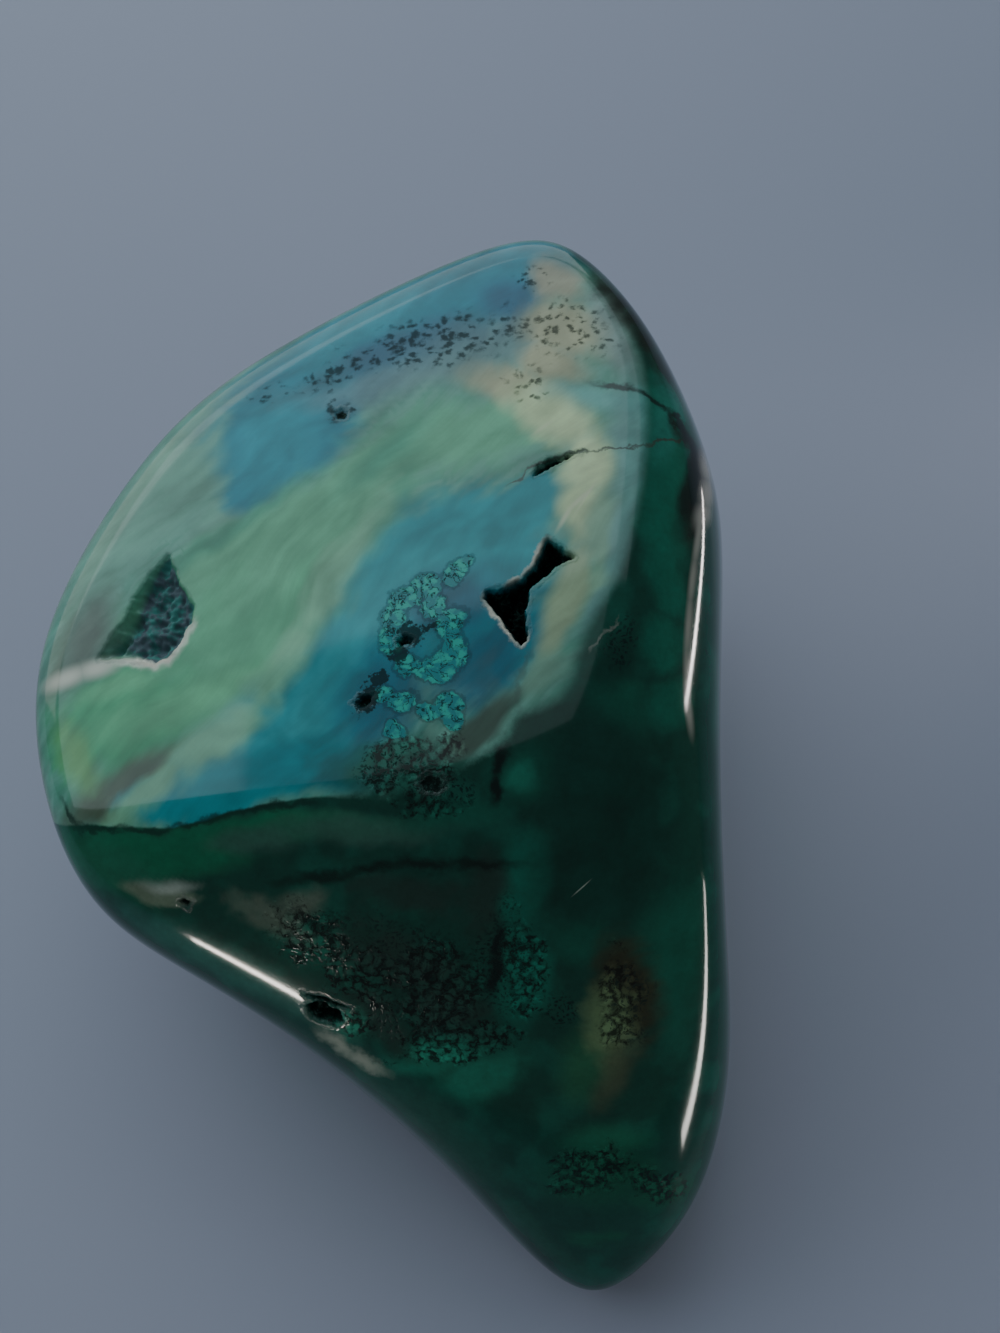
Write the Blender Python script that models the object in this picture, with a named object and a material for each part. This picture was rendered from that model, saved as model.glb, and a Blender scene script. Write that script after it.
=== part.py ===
"""A polished malachite freeform: one palm-size pebble of solid stone, ground to a few broad faces.

The stone is the space inside a set of very large spheres, one for each face that the lapidary ground.
Faces meet in soft ridges, two of them are hollow-ground, and the underside is sawn flat so that it rests.
The polishing opened natural vugs (small crystal hollows), which are cut in as irregular pits.
Lengths are in millimetres inside this script and become metres when the mesh is written.
"""

import math
import random
from collections import namedtuple

import bmesh
import bpy
import numpy as np
from mathutils import Vector

MILLIMETRE = 0.001

# Driving dimensions. The heart is the point inside the stone that every reach is measured from.
HEART_HEIGHT = 34.0  # from the sawn base up to the heart
RIDGE_SOFTNESS = 1.6  # how far neighbouring faces blend, so ridges are a few millimetres round
RIM_SOFTNESS = 1.47  # the same where the crown meets the walls, which is a little crisper
GRID_CUTS = 24  # subdivisions along each side of the cube that the stone is shaped from
ROUGH_SPAN = (40.0, 50.0, 36.0)  # half sizes of the rough block, which spread the mesh evenly
SHOW_ELEVATION = 65.0  # the show side is looked down on from the front at this angle
PIT_MOUTH_RISE = 1.5  # how far a pit cutter stands proud of the polished face
PIT_ROUGHNESS = 0.25  # uneven depth of a pit's floor

# The crown is what the show side looks down on; the walls go round it and under it.
# A face: the way it points (degrees round from +X toward +Y, degrees up), how far it stands from
# the heart, and the radius of the sphere it is part of. A negative radius is a hollow-ground face.
GroundFace = namedtuple("GroundFace", "name heading rise reach radius")
CROWN_FACES = (
    GroundFace("top", -164, 78, 17.0, 220),
    GroundFace("front slope", -101, 43, 21.5, 400),
    GroundFace("front slope, right", -61, 42, 27.5, 500),
    GroundFace("corner bevel", -71, 58, 22.0, 200),
    GroundFace("right shoulder", -17, 50, 25.8, 200),
)
WALL_FACES = (
    GroundFace("back left", 153.8, 14.1, 41.4, 120),
    GroundFace("left end", -176.5, 5.9, 43.5, 100),
    GroundFace("front left", -156.7, -2.4, 40.3, 120),
    GroundFace("front left corner", -134.4, -7.1, 39.2, 400),
    GroundFace("back", 122.2, 20.8, 43.1, 300),
    GroundFace("back end, left", 98.2, 25.2, 52.9, 120),
    GroundFace("back end, right", 58.1, 21.9, 53.3, 120),
    GroundFace("back right", 30.5, 12.1, 41.0, 200),
    GroundFace("right wall, rear", 7.7, 13.8, 32.2, 170),
    GroundFace("right wall, waist", -2.7, 4.4, 26.9, -200),
    GroundFace("right wall, front", -9.6, 5.7, 33.2, 400),
    GroundFace("nose, right", -30.4, -13.2, 50.1, 300),
    GroundFace("nose", -93.1, -24.7, 63.4, 300),
    GroundFace("left wall, dished", -123.3, -13.0, 34.7, -105),
    GroundFace("under nose", -90, -38, 68.0, 200),
    GroundFace("under right", 10, -25, 36.0, 200),
    GroundFace("under left", 180, -30, 40.0, 80),
    GroundFace("under back", 90, -25, 46.0, 120),
    GroundFace("under front left", -135, -25, 42.0, 300),
    GroundFace("under front right", -40, -30, 57.0, 300),
    GroundFace("underside", 0, -90, 35.5, 4000),
)

# A vug that opens on the show side: the middle of its mouth and its outline round that middle, both as
# seen from the show side (right, up), then its depth and how much of the mouth's size its floor keeps.
ShowVug = namedtuple("ShowVug", "name middle outline depth floor")
SHOW_VUGS = (
    ShowVug(
        "arrowhead vug",
        (-28.3, 9.6),
        ((0.9, 6.6), (3.8, 1.7), (3.7, 0.0), (1.6, -3.5), (0.4, -3.7), (-5.3, -3.5), (-3.3, 0.0),
         (-2.3, 2.4), (-0.8, 4.9)),
        3.2,
        0.55,
    ),
    ShowVug(
        "hourglass vug",
        (7.3, 12.2),
        ((1.7, 5.0), (4.6, 3.4), (2.5, 2.0), (1.2, 1.4), (-0.5, -0.6), (0.0, -2.9), (0.3, -4.5),
         (-2.1, -2.8), (-4.0, -0.7), (-3.4, 0.0), (-1.3, 0.6), (0.4, 1.7), (1.4, 3.1)),
        4.5,
        0.6,
    ),
    ShowVug(
        "slit vug",
        (9.9, 24.5),
        ((-2.1, -0.8), (-1.7, 0.2), (-0.7, 0.5), (3.9, 1.2), (0.8, -0.2), (-0.5, -0.8)),
        2.5,
        0.5,
    ),
    ShowVug(
        "ridge hole",
        (-11.7, -27.5),
        ((-1.9, 0.6), (-0.9, 1.2), (0.4, 1.0), (1.6, 0.1), (1.9, -0.8), (0.9, -1.2), (-0.5, -0.9), (-1.6, -0.2)),
        2.8,
        0.5,
    ),
    ShowVug(
        "turquoise hole, upper",
        (-3.8, 7.7),
        ((-0.7, 0.1), (0.1, 0.4), (0.8, 0.2), (0.6, -0.3), (-0.4, -0.4)),
        1.2,
        0.5,
    ),
    ShowVug(
        "turquoise hole, lower",
        (-7.4, 2.2),
        ((-1.0, -0.2), (-0.3, 0.5), (0.9, 0.7), (0.6, -0.1), (-0.4, -0.6)),
        1.0,
        0.5,
    ),
    ShowVug(
        "corner pit",
        (-1.1, -5.2),
        ((-1.7, 0.2), (-0.6, 1.1), (0.9, 0.9), (1.8, -0.3), (0.5, -1.2), (-1.0, -0.9)),
        1.1,
        0.6,
    ),
    ShowVug(
        "far pit",
        (-10.7, 30.3),
        ((-1.1, 0.4), (0.0, 0.7), (1.1, 0.5), (0.5, -0.6), (-0.5, -0.7)),
        1.0,
        0.5,
    ),
    ShowVug(
        "pin hole",
        (-24.4, -16.7),
        ((-0.7, 0.0), (-0.1, 0.4), (0.7, 0.1), (0.1, -0.4)),
        1.2,
        0.6,
    ),
)

# A vug on a wall: the way it lies from the heart, and its outline as seen square on (right, up).
WallVug = namedtuple("WallVug", "name heading rise outline depth floor")
WALL_VUGS = (
    WallVug(
        "dish cleft",
        -112,
        -3,
        ((-2.4, 0.5), (0.0, 0.4), (2.4, -0.1), (2.3, -0.4), (0.0, -0.2), (-2.0, 0.1)),
        1.6,
        0.6,
    ),
    WallVug(
        "back vug",
        104,
        4,
        ((-4.2, 0.4), (-1.8, 2.2), (0.9, 1.4), (3.6, 2.0), (4.4, -0.6), (1.2, -1.7), (-2.2, -1.2)),
        3.6,
        0.5,
    ),
    WallVug(
        "back slit",
        128,
        -14,
        ((-2.6, -0.9), (-0.4, -0.3), (2.8, 0.9), (1.2, 0.9), (-1.2, 0.2)),
        1.8,
        0.5,
    ),
    WallVug(
        "right wall pit",
        12,
        -10,
        ((-1.9, -0.4), (-0.9, 1.0), (0.8, 1.2), (1.9, 0.1), (0.7, -1.0), (-0.8, -1.1)),
        1.6,
        0.5,
    ),
    WallVug(
        "left end pit",
        -170,
        -12,
        ((-1.5, 0.0), (-0.5, 1.3), (1.0, 0.9), (1.4, -0.6), (0.0, -1.2)),
        1.4,
        0.5,
    ),
)

MALACHITE_GREEN = (0.010, 0.130, 0.090, 1.0)
POLISH_ROUGHNESS = 0.12


def clear_scene():
    """Starts from an empty file."""
    for old in list(bpy.data.objects):
        bpy.data.objects.remove(old, do_unlink=True)


def unit(heading, rise):
    """The unit vector that points this way, in degrees."""
    turn = math.radians(heading)
    lift = math.radians(rise)
    return np.array((math.cos(lift) * math.cos(turn), math.cos(lift) * math.sin(turn), math.sin(lift)))


SHOW_RIGHT = np.array((1.0, 0.0, 0.0))
SHOW_TOWARD = unit(-90, SHOW_ELEVATION)
SHOW_UP = np.cross(SHOW_TOWARD, SHOW_RIGHT)


def blended(gaps, softness):
    """The largest of the gaps, rounded off where several are nearly equal."""
    largest = gaps.max(axis=0)
    return largest + softness * np.log(np.exp((gaps - largest) / softness).sum(axis=0))


def gaps_outside(faces, points):
    """How far each point (from the heart) lies outside each face; negative inside."""
    gaps = []
    for face in faces:
        middle = unit(face.heading, face.rise) * (face.reach - face.radius)
        away = np.linalg.norm(points - middle, axis=-1) - abs(face.radius)
        gaps.append(math.copysign(1.0, face.radius) * away)
    return np.stack(gaps)


def depth_outside(points):
    """How far each point (from the heart) lies outside the ground stone; negative inside."""
    crown = blended(gaps_outside(CROWN_FACES, points), RIDGE_SOFTNESS)
    walls = blended(gaps_outside(WALL_FACES, points), RIDGE_SOFTNESS)
    return blended(np.stack((crown, walls)), RIM_SOFTNESS)


def surface_along(starts, ways, inside, outside):
    """The point where each line start + way * t leaves the stone, by halving t between inside and outside."""
    near = np.full(len(starts), inside)
    far = np.full(len(starts), outside)
    for _ in range(50):
        middle = (near + far) / 2
        within = depth_outside(starts + ways * middle[:, None]) < 0
        near = np.where(within, middle, near)
        far = np.where(within, far, middle)
    return starts + ways * near[:, None]


def face_normal(point):
    """The outward direction of the polished surface at this point."""
    step = 0.05
    slopes = []
    for axis in np.eye(3):
        ends = np.stack((point + axis * step, point - axis * step))
        ahead, behind = depth_outside(ends)
        slopes.append(ahead - behind)
    slopes = np.array(slopes)
    return slopes / np.linalg.norm(slopes)


def malachite():
    """Deep green polished stone."""
    material = bpy.data.materials.new("malachite")
    material.use_nodes = True
    surface = material.node_tree.nodes["Principled BSDF"]
    surface.inputs["Base Color"].default_value = MALACHITE_GREEN
    surface.inputs["Metallic"].default_value = 0.0
    surface.inputs["Roughness"].default_value = POLISH_ROUGHNESS
    return material


def add_object(name, shape, collection):
    """Makes a mesh object from a bmesh whose lengths are millimetres from the heart."""
    for vertex in shape.verts:
        vertex.co.z += HEART_HEIGHT
        vertex.co *= MILLIMETRE
    mesh = bpy.data.meshes.new(name)
    shape.to_mesh(mesh)
    shape.free()
    mesh.shade_smooth()
    made = bpy.data.objects.new(name, mesh)
    collection.objects.link(made)
    return made


def ground_stone(collection):
    """The ground and polished body, with its base sawn flat."""
    shape = bmesh.new()
    bmesh.ops.create_cube(shape, size=2.0)
    bmesh.ops.subdivide_edges(shape, edges=shape.edges[:], cuts=GRID_CUTS, use_grid_fill=True)
    corners = np.array([vertex.co for vertex in shape.verts])
    spread = np.tan(corners * math.pi / 4)
    ways = spread / np.linalg.norm(spread, axis=1)[:, None] * np.array(ROUGH_SPAN)
    ways /= np.linalg.norm(ways, axis=1)[:, None]
    placed = surface_along(np.zeros_like(ways), ways, 1.0, 150.0)
    for vertex, place in zip(shape.verts, placed):
        vertex.co = place
    base = Vector((0.0, 0.0, -HEART_HEIGHT))
    everything = shape.verts[:] + shape.edges[:] + shape.faces[:]
    sawn = bmesh.ops.bisect_plane(shape, geom=everything, plane_co=base, plane_no=(0, 0, -1), clear_outer=True)
    rim = [edge for edge in sawn["geom_cut"] if isinstance(edge, bmesh.types.BMEdge)]
    bmesh.ops.edgeloop_fill(shape, edges=rim)
    bmesh.ops.recalc_face_normals(shape, faces=shape.faces[:])
    stone = add_object("malachite_stone", shape, collection)
    stone.data.materials.append(malachite())
    return stone


def vug_cutter(vug, mouth, normal, collection):
    """A tapered plug with the outline of the vug's mouth and an uneven floor."""
    chance = random.Random(vug.name)
    middle = mouth.mean(axis=0)
    flare = 1 + (1 - vug.floor) * PIT_MOUTH_RISE / vug.depth
    shape = bmesh.new()
    bmesh.ops.create_cone(
        shape, cap_ends=True, segments=len(mouth), radius1=1.0, radius2=1.0, depth=2.0
    )
    upper = [vertex for vertex in shape.verts if vertex.co.z > 0]
    lower = [vertex for vertex in shape.verts if vertex.co.z < 0]
    for ring, scale, height, unevenness in (
        (upper, flare, PIT_MOUTH_RISE, 0.0),
        (lower, vug.floor, -vug.depth, PIT_ROUGHNESS * vug.depth),
    ):
        ring.sort(key=lambda vertex: math.atan2(vertex.co.y, vertex.co.x) % math.tau)
        for vertex, corner in zip(ring, mouth):
            lift = height + chance.uniform(-1, 1) * unevenness
            vertex.co = middle + (corner - middle) * scale + normal * lift
    bmesh.ops.triangulate(shape, faces=shape.faces[:])
    bmesh.ops.recalc_face_normals(shape, faces=shape.faces[:])
    cutter = add_object(vug.name + " cutter", shape, collection)
    cutter.hide_render = True
    cutter.display_type = "WIRE"
    return cutter


def cut(stone, cutter):
    """Takes the cutter's shape out of the stone."""
    modifier = stone.modifiers.new(cutter.name, "BOOLEAN")
    modifier.operation = "DIFFERENCE"
    modifier.solver = "EXACT"
    modifier.object = cutter


def show_vug_cutter(vug, collection):
    """Places a vug's outline as seen from the show side on the face below it."""
    right, up = vug.middle
    start = SHOW_RIGHT * right + SHOW_UP * up
    top = surface_along(start[None], SHOW_TOWARD[None], 0.0, 60.0)[0]
    normal = face_normal(top)
    mouth = []
    for right, up in reversed(vug.outline):
        seen = SHOW_RIGHT * right + SHOW_UP * up
        mouth.append(top + seen - SHOW_TOWARD * seen.dot(normal) / SHOW_TOWARD.dot(normal))
    return vug_cutter(vug, np.array(mouth), normal, collection)


def wall_vug_cutter(vug, collection):
    """Places a vug's outline square on the wall where a line from the heart meets it."""
    way = unit(vug.heading, vug.rise)
    top = surface_along(np.zeros((1, 3)), way[None], 1.0, 150.0)[0]
    normal = face_normal(top)
    right_way = np.cross((0.0, 0.0, 1.0), normal)
    right_way /= np.linalg.norm(right_way)
    up_way = np.cross(normal, right_way)
    mouth = [top + right_way * right + up_way * up for right, up in reversed(vug.outline)]
    return vug_cutter(vug, np.array(mouth), normal, collection)


clear_scene()
stone_collection = bpy.data.collections.new("polished_malachite")
cutter_collection = bpy.data.collections.new("cutters")
bpy.context.scene.collection.children.link(stone_collection)
bpy.context.scene.collection.children.link(cutter_collection)
malachite_stone = ground_stone(stone_collection)
for show_vug in SHOW_VUGS:
    cut(malachite_stone, show_vug_cutter(show_vug, cutter_collection))
for wall_vug in WALL_VUGS:
    cut(malachite_stone, wall_vug_cutter(wall_vug, cutter_collection))
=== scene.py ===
import math

import bpy
import numpy as np
from mathutils import Matrix, Vector, noise


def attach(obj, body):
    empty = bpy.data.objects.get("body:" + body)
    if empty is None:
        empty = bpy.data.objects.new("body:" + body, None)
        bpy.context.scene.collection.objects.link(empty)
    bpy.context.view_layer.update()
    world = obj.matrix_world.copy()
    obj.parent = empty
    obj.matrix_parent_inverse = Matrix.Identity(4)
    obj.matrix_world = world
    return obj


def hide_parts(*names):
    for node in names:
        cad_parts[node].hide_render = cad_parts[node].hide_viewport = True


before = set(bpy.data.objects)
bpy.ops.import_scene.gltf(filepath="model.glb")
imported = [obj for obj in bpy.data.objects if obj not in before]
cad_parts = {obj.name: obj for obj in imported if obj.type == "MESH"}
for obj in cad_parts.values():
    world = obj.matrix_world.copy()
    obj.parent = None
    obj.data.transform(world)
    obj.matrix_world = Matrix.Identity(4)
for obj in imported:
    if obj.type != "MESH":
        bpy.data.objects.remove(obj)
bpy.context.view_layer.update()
bpy.ops.object.select_all(action="DESELECT")

# The stone is one solid piece of malachite and chrysocolla, ground to a few broad faces and polished.
# Each face is part of a very large sphere, measured in millimetres from the heart of the stone, and
# neighbouring faces meet in soft ridges. A cube is cut up finely, and its corners are moved onto them.
HEART_HEIGHT = 34.0  # from the sawn base up to the heart
RIDGE_SOFTNESS = 1.6  # how far neighbouring faces blend
RIM_SOFTNESS = 1.47  # the same where the crown meets the walls
ROUGH_CUBE = 80.0  # side of the cube that the stone is shaped from
ROUGH_SPAN = (40.0, 50.0, 36.0)  # half sizes of the rough block, which spread the mesh evenly
STONE_CUTS = 69  # cuts along each side of the cube
HALVINGS = 28  # steps in which a corner closes in on the ground face
LONGEST_REACH = 150.0  # further from the heart than any face
SLOPE_STEP = 0.05  # distance over which the way a face looks is measured
CROWN_FACES = (  # heading and rise in degrees, reach from the heart, radius (negative is hollow)
    ("top", -164, 78, 17.0, 220),
    ("front slope", -101, 43, 21.5, 400),
    ("front slope, right", -61, 42, 27.5, 500),
    ("corner bevel", -71, 58, 22.0, 200),
    ("right shoulder", -17, 50, 25.8, 200),
)
WALL_FACES = (
    ("back left", 153.8, 14.1, 41.4, 120),
    ("left end", -176.5, 5.9, 43.5, 100),
    ("front left", -156.7, -2.4, 40.3, 120),
    ("front left corner", -134.4, -7.1, 39.2, 400),
    ("back", 122.2, 20.8, 43.1, 300),
    ("back end, left", 98.2, 25.2, 52.9, 120),
    ("back end, right", 58.1, 21.9, 53.3, 120),
    ("back right", 30.5, 12.1, 41.0, 200),
    ("right wall, rear", 7.7, 13.8, 32.2, 170),
    ("right wall, waist", -2.7, 4.4, 26.9, -200),
    ("right wall, front", -9.6, 5.7, 33.2, 400),
    ("nose, right", -30.4, -13.2, 50.1, 300),
    ("nose", -93.1, -24.7, 63.4, 300),
    ("left wall, dished", -123.3, -13.0, 34.7, -105),
    ("under nose", -90, -38, 68.0, 200),
    ("under right", 10, -25, 36.0, 200),
    ("under left", 180, -30, 40.0, 80),
    ("under back", 90, -25, 46.0, 120),
    ("under front left", -135, -25, 42.0, 300),
    ("under front right", -40, -30, 57.0, 300),
    ("underside", 0, -90, 35.5, 4000),
)


def unit(heading, rise):
    """The direction with this heading and rise, in degrees."""
    turn, lift = math.radians(heading), math.radians(rise)
    return np.array((math.cos(lift) * math.cos(turn), math.cos(lift) * math.sin(turn), math.sin(lift)))


def blended(gaps, softness):
    """The largest of the gaps, eased where two are alike, which rounds the ridge between their faces."""
    largest = gaps.max(axis=0)
    return largest + softness * np.log(np.exp((gaps - largest) / softness).sum(axis=0))


def gaps_outside(faces, points):
    """For each face, how far each point lies outside its sphere."""
    gaps = []
    for name, heading, rise, reach, radius in faces:
        away = np.linalg.norm(points - unit(heading, rise) * (reach - radius), axis=-1)
        gaps.append(math.copysign(1.0, radius) * (away - abs(radius)))
    return np.stack(gaps)


def depth_outside(points):
    """How far points lie outside the ground stone; the crown meets the walls at a crisper rim."""
    crown = blended(gaps_outside(CROWN_FACES, points), RIDGE_SOFTNESS)
    walls = blended(gaps_outside(WALL_FACES, points), RIDGE_SOFTNESS)
    return blended(np.stack((crown, walls)), RIM_SOFTNESS)


def ground_to_size(points):
    """Moves points along their lines from the heart onto the ground faces."""
    ways = points / np.linalg.norm(points, axis=1)[:, None]
    near, far = np.full(len(ways), 1.0), np.full(len(ways), LONGEST_REACH)
    for _ in range(HALVINGS):
        middle = (near + far) / 2
        within = depth_outside(ways * middle[:, None]) < 0
        near, far = np.where(within, middle, near), np.where(within, far, middle)
    return ways * near[:, None]


def outward(points):
    """The way the polished surface faces at each point."""
    steps = np.eye(3) * SLOPE_STEP
    rises = [depth_outside(points + step) - depth_outside(points - step) for step in steps]
    slopes = np.stack(rises, axis=-1)
    return slopes / np.linalg.norm(slopes, axis=1)[:, None]


def corners_of(piece):
    """The piece's corners in millimetres from the heart."""
    corners = np.empty(len(piece.data.vertices) * 3)
    piece.data.vertices.foreach_get("co", corners)
    return corners.reshape(-1, 3) * 1000 - (0, 0, HEART_HEIGHT)


def place_corners(piece, places):
    """Moves the piece's corners to places in millimetres from the heart."""
    piece.data.vertices.foreach_set("co", ((places + (0, 0, HEART_HEIGHT)) / 1000).ravel())
    piece.data.update()


bpy.ops.mesh.primitive_cube_add(size=ROUGH_CUBE / 1000, location=(0, 0, HEART_HEIGHT / 1000))
stone = bpy.context.object
stone.name = stone.data.name = "polished_malachite"
bpy.ops.object.transform_apply(location=True, rotation=True, scale=True)
bpy.ops.object.mode_set(mode="EDIT")
bpy.ops.mesh.select_all(action="SELECT")
bpy.ops.mesh.subdivide(number_cuts=STONE_CUTS)
bpy.ops.object.mode_set(mode="OBJECT")
evenly_spread = np.tan(corners_of(stone) / (ROUGH_CUBE / 2) * math.pi / 4) * ROUGH_SPAN
place_corners(stone, ground_to_size(evenly_spread))


def subdivide_where(piece, chosen, cuts):
    """Subdivides the faces that have a chosen corner."""
    face_corners = np.empty(len(piece.data.loops), int)
    piece.data.loops.foreach_get("vertex_index", face_corners)
    starts = np.empty(len(piece.data.polygons), int)
    piece.data.polygons.foreach_get("loop_start", starts)
    bpy.ops.object.mode_set(mode="EDIT")
    bpy.ops.mesh.select_mode(type="FACE")
    bpy.ops.mesh.select_all(action="DESELECT")
    bpy.ops.object.mode_set(mode="OBJECT")
    piece.data.polygons.foreach_set("select", np.logical_or.reduceat(chosen[face_corners], starts))
    bpy.ops.object.mode_set(mode="EDIT")
    bpy.ops.mesh.subdivide(number_cuts=cuts)
    bpy.ops.object.mode_set(mode="OBJECT")


# The show side, which carries the markings, gets a mesh twice as fine as the rest.
SHOW_RISE = 65  # the show side is looked down on from the front at this angle
SHOW_TOWARD = unit(-90, SHOW_RISE)
SHOW_UP = np.cross(SHOW_TOWARD, (1, 0, 0))
FINE_WHERE_FACING = 0.3  # cosine between the way a place faces and the show side's
subdivide_where(stone, outward(corners_of(stone)) @ SHOW_TOWARD > FINE_WHERE_FACING, 1)
place_corners(stone, ground_to_size(corners_of(stone)))

# The polishing opened natural vugs, small hollows lined with rough crystals, with a worn lip that the shader
# paints with a pale highlight.
# Each has its middle and outline in millimetres as seen square on: those of the show side are seen
# from the front and 65 degrees up, those on the walls from straight outside. The mesh is finest there.
SHOW_VUGS = (  # name, middle, outline, depth, width of its sloping wall
    ("arrowhead vug", (-28.3, 9.6), (
        (0.9, 6.6), (2.4, 3.6), (3.8, 1.7), (3.7, 0.0), (2.8, -1.9), (1.6, -3.5), (0.4, -3.9), (-2.6, -3.5),
        (-5.6, -3.5), (-4.6, -1.6), (-3.3, 0.0), (-2.3, 2.4), (-0.8, 4.9),
    ), 1.6, 1.0),
    ("hourglass vug", (7.3, 12.2), (
        (2.1, 5.2), (4.6, 3.3), (2.9, 2.5), (1.8, 1.5), (0.6, 0.3), (0.1, -1.7), (0.2, -4.4), (-0.4, -4.9),
        (-1.2, -4.1), (-2.3, -2.5), (-3.9, -0.5), (-3.6, 0.1), (-1.8, 0.5), (-0.3, 1.4), (1.0, 2.8),
        (1.5, 4.1),
    ), 3.6, 0.6),
    ("slit vug", (9.9, 24.5), (
        (-1.7, -1.0), (-1.3, -0.2), (-0.3, 0.5), (0.9, 0.8), (3.2, 1.4), (1.0, 0.5), (0.2, -0.1),
        (-0.7, -0.7),
    ), 1.5, 0.35),
    ("ridge hole", (-11.7, -27.5), (
        (-1.9, 0.6), (-0.9, 1.2), (0.4, 1.0), (1.6, 0.1), (1.9, -0.8), (0.9, -1.2), (-0.5, -0.9),
        (-1.6, -0.2),
    ), 1.8, 0.5),
    ("turquoise hole, upper", (-3.8, 7.7), (
        (-0.7, 0.1), (0.1, 0.4), (0.8, 0.2), (0.6, -0.3), (-0.4, -0.4),
    ), 0.9, 0.3),
    ("turquoise hole, lower", (-7.4, 2.2), (
        (-1.0, -0.2), (-0.3, 0.5), (0.9, 0.7), (0.6, -0.1), (-0.4, -0.6),
    ), 0.8, 0.3),
    ("corner pit", (-1.1, -5.2), (
        (-1.3, 0.2), (-0.5, 0.8), (0.7, 0.7), (1.3, -0.3), (0.4, -0.9), (-0.8, -0.7),
    ), 0.3, 0.5),
    ("far pit", (-10.7, 30.3), ((-0.8, 0.3), (0.0, 0.5), (0.8, 0.3), (0.4, -0.5), (-0.4, -0.5)), 0.5, 0.5),
    ("pin hole", (-24.4, -16.7), ((-0.7, 0.0), (-0.1, 0.4), (0.7, 0.1), (0.1, -0.4)), 0.8, 0.4),
)
WALL_VUGS = (  # name, heading, rise, outline, depth, width of its sloping wall
    ("dish cleft", -112, -3, (
        (-2.4, 0.5), (0.0, 0.4), (2.4, -0.1), (2.3, -0.4), (0.0, -0.2), (-2.0, 0.1),
    ), 1.2, 0.3),
    ("back vug", 104, 4, (
        (-4.2, 0.4), (-1.8, 2.2), (0.9, 1.4), (3.6, 2.0), (4.4, -0.6), (1.2, -1.7), (-2.2, -1.2),
    ), 3.0, 0.8),
    ("back slit", 128, -14, ((-2.6, -0.9), (-0.4, -0.3), (2.8, 0.9), (1.2, 0.9), (-1.2, 0.2)), 1.4, 0.4),
    ("right wall pit", 12, -10, (
        (-1.9, -0.4), (-0.9, 1.0), (0.8, 1.2), (1.9, 0.1), (0.7, -1.0), (-0.8, -1.1),
    ), 1.3, 0.5),
    ("left end pit", -170, -12, (
        (-1.5, 0.0), (-0.5, 1.3), (1.0, 0.9), (1.4, -0.6), (0.0, -1.2),
    ), 1.2, 0.4),
)


def inside_outline(points, outline):
    """How far each point lies inside the outline; negative outside."""
    outline = np.array(outline)
    nearest, inside = np.full(len(points), 1e9), np.zeros(len(points), bool)
    for start, end in zip(outline, np.roll(outline, -1, axis=0)):
        along = np.clip(((points - start) @ (end - start)) / ((end - start) @ (end - start)), 0, 1)
        nearest = np.minimum(nearest, np.linalg.norm(points - start - along[:, None] * (end - start), axis=1))
        crosses = (start[1] > points[:, 1]) != (end[1] > points[:, 1])
        rise = end[1] - start[1] or 1e-9
        left = points[:, 0] < start[0] + (points[:, 1] - start[1]) * (end[0] - start[0]) / rise
        inside ^= crosses & left
    return np.where(inside, nearest, -nearest)


FAR_OUTSIDE = -9.0  # in place of a distance for what lies on another side of the stone
ON_SHOW_SIDE, ON_WALL_VUG = 0.15, 0.5  # least cosine between the way a place faces and the vug's


def vugs_over(points, facing):
    """For each vug, its depth, wall and how far inside its mouth each point lies."""
    seen = np.stack((points[:, 0], points @ SHOW_UP), axis=1)
    for name, middle, outline, depth, wall in SHOW_VUGS:
        edge = inside_outline(seen - middle, outline)
        yield depth, wall, np.where(facing @ SHOW_TOWARD > ON_SHOW_SIDE, edge, FAR_OUTSIDE)
    for name, heading, rise, outline, depth, wall in WALL_VUGS:
        mouth = ground_to_size(unit(heading, rise)[None])
        square = outward(mouth)[0]
        across = np.cross((0, 0, 1), square)
        across /= np.linalg.norm(across)
        flat = np.stack(((points - mouth) @ across, (points - mouth) @ np.cross(square, across)), axis=1)
        edge = inside_outline(flat, outline)
        yield depth, wall, np.where(facing @ square > ON_WALL_VUG, edge, FAR_OUTSIDE)


places = corners_of(stone)
mouth_edge = np.full(len(places), FAR_OUTSIDE)
for depth, wall, edge in vugs_over(places, outward(places)):
    mouth_edge = np.maximum(mouth_edge, edge)
FINEST_AROUND = 1.0
subdivide_where(stone, mouth_edge > -FINEST_AROUND, 2)

# The vugs are sunk into the polish, each with a worn lip, a ragged mouth and a rough floor.
POLISHED_AWAY = 0.035  # taken off all over, which keeps the smooth faces inside the plain ones
LIP_WIDTH, LIP_DROP = 0.5, 0.1
WORN_AROUND = 1.2  # how far from a mouth the polish is touched at most
MOUTH_LIMIT = 2.0  # the distance from a mouth's edge is kept up to this
VUG_APART = 31.7  # gives each vug a raggedness of its own
places = ground_to_size(corners_of(stone))
facing = outward(places)
sunk = np.full(len(places), POLISHED_AWAY)
mouth_edge = np.full(len(places), -MOUTH_LIMIT)
for number, (depth, wall, edge) in enumerate(vugs_over(places, facing)):
    for corner in np.nonzero(edge > -WORN_AROUND)[0]:
        spot = Vector(places[corner]) + Vector((0, 0, number * VUG_APART))
        ragged = edge[corner] + 0.22 * noise.noise(spot * 1.1) + 0.1 * noise.noise(spot * 3.2)
        slope = min(max(ragged / wall, 0), 1)
        lip = LIP_DROP * min(max(1 + ragged / LIP_WIDTH, 0), 1) ** 2
        lining = 0.75 + 0.5 * noise.noise(spot * 0.7) + 0.35 * noise.noise(spot * 1.9)
        sunk[corner] = max(sunk[corner], POLISHED_AWAY + lip + depth * slope ** 0.8 * lining)
        mouth_edge[corner] = max(mouth_edge[corner], ragged)
place_corners(stone, places - facing * sunk[:, None])
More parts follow.
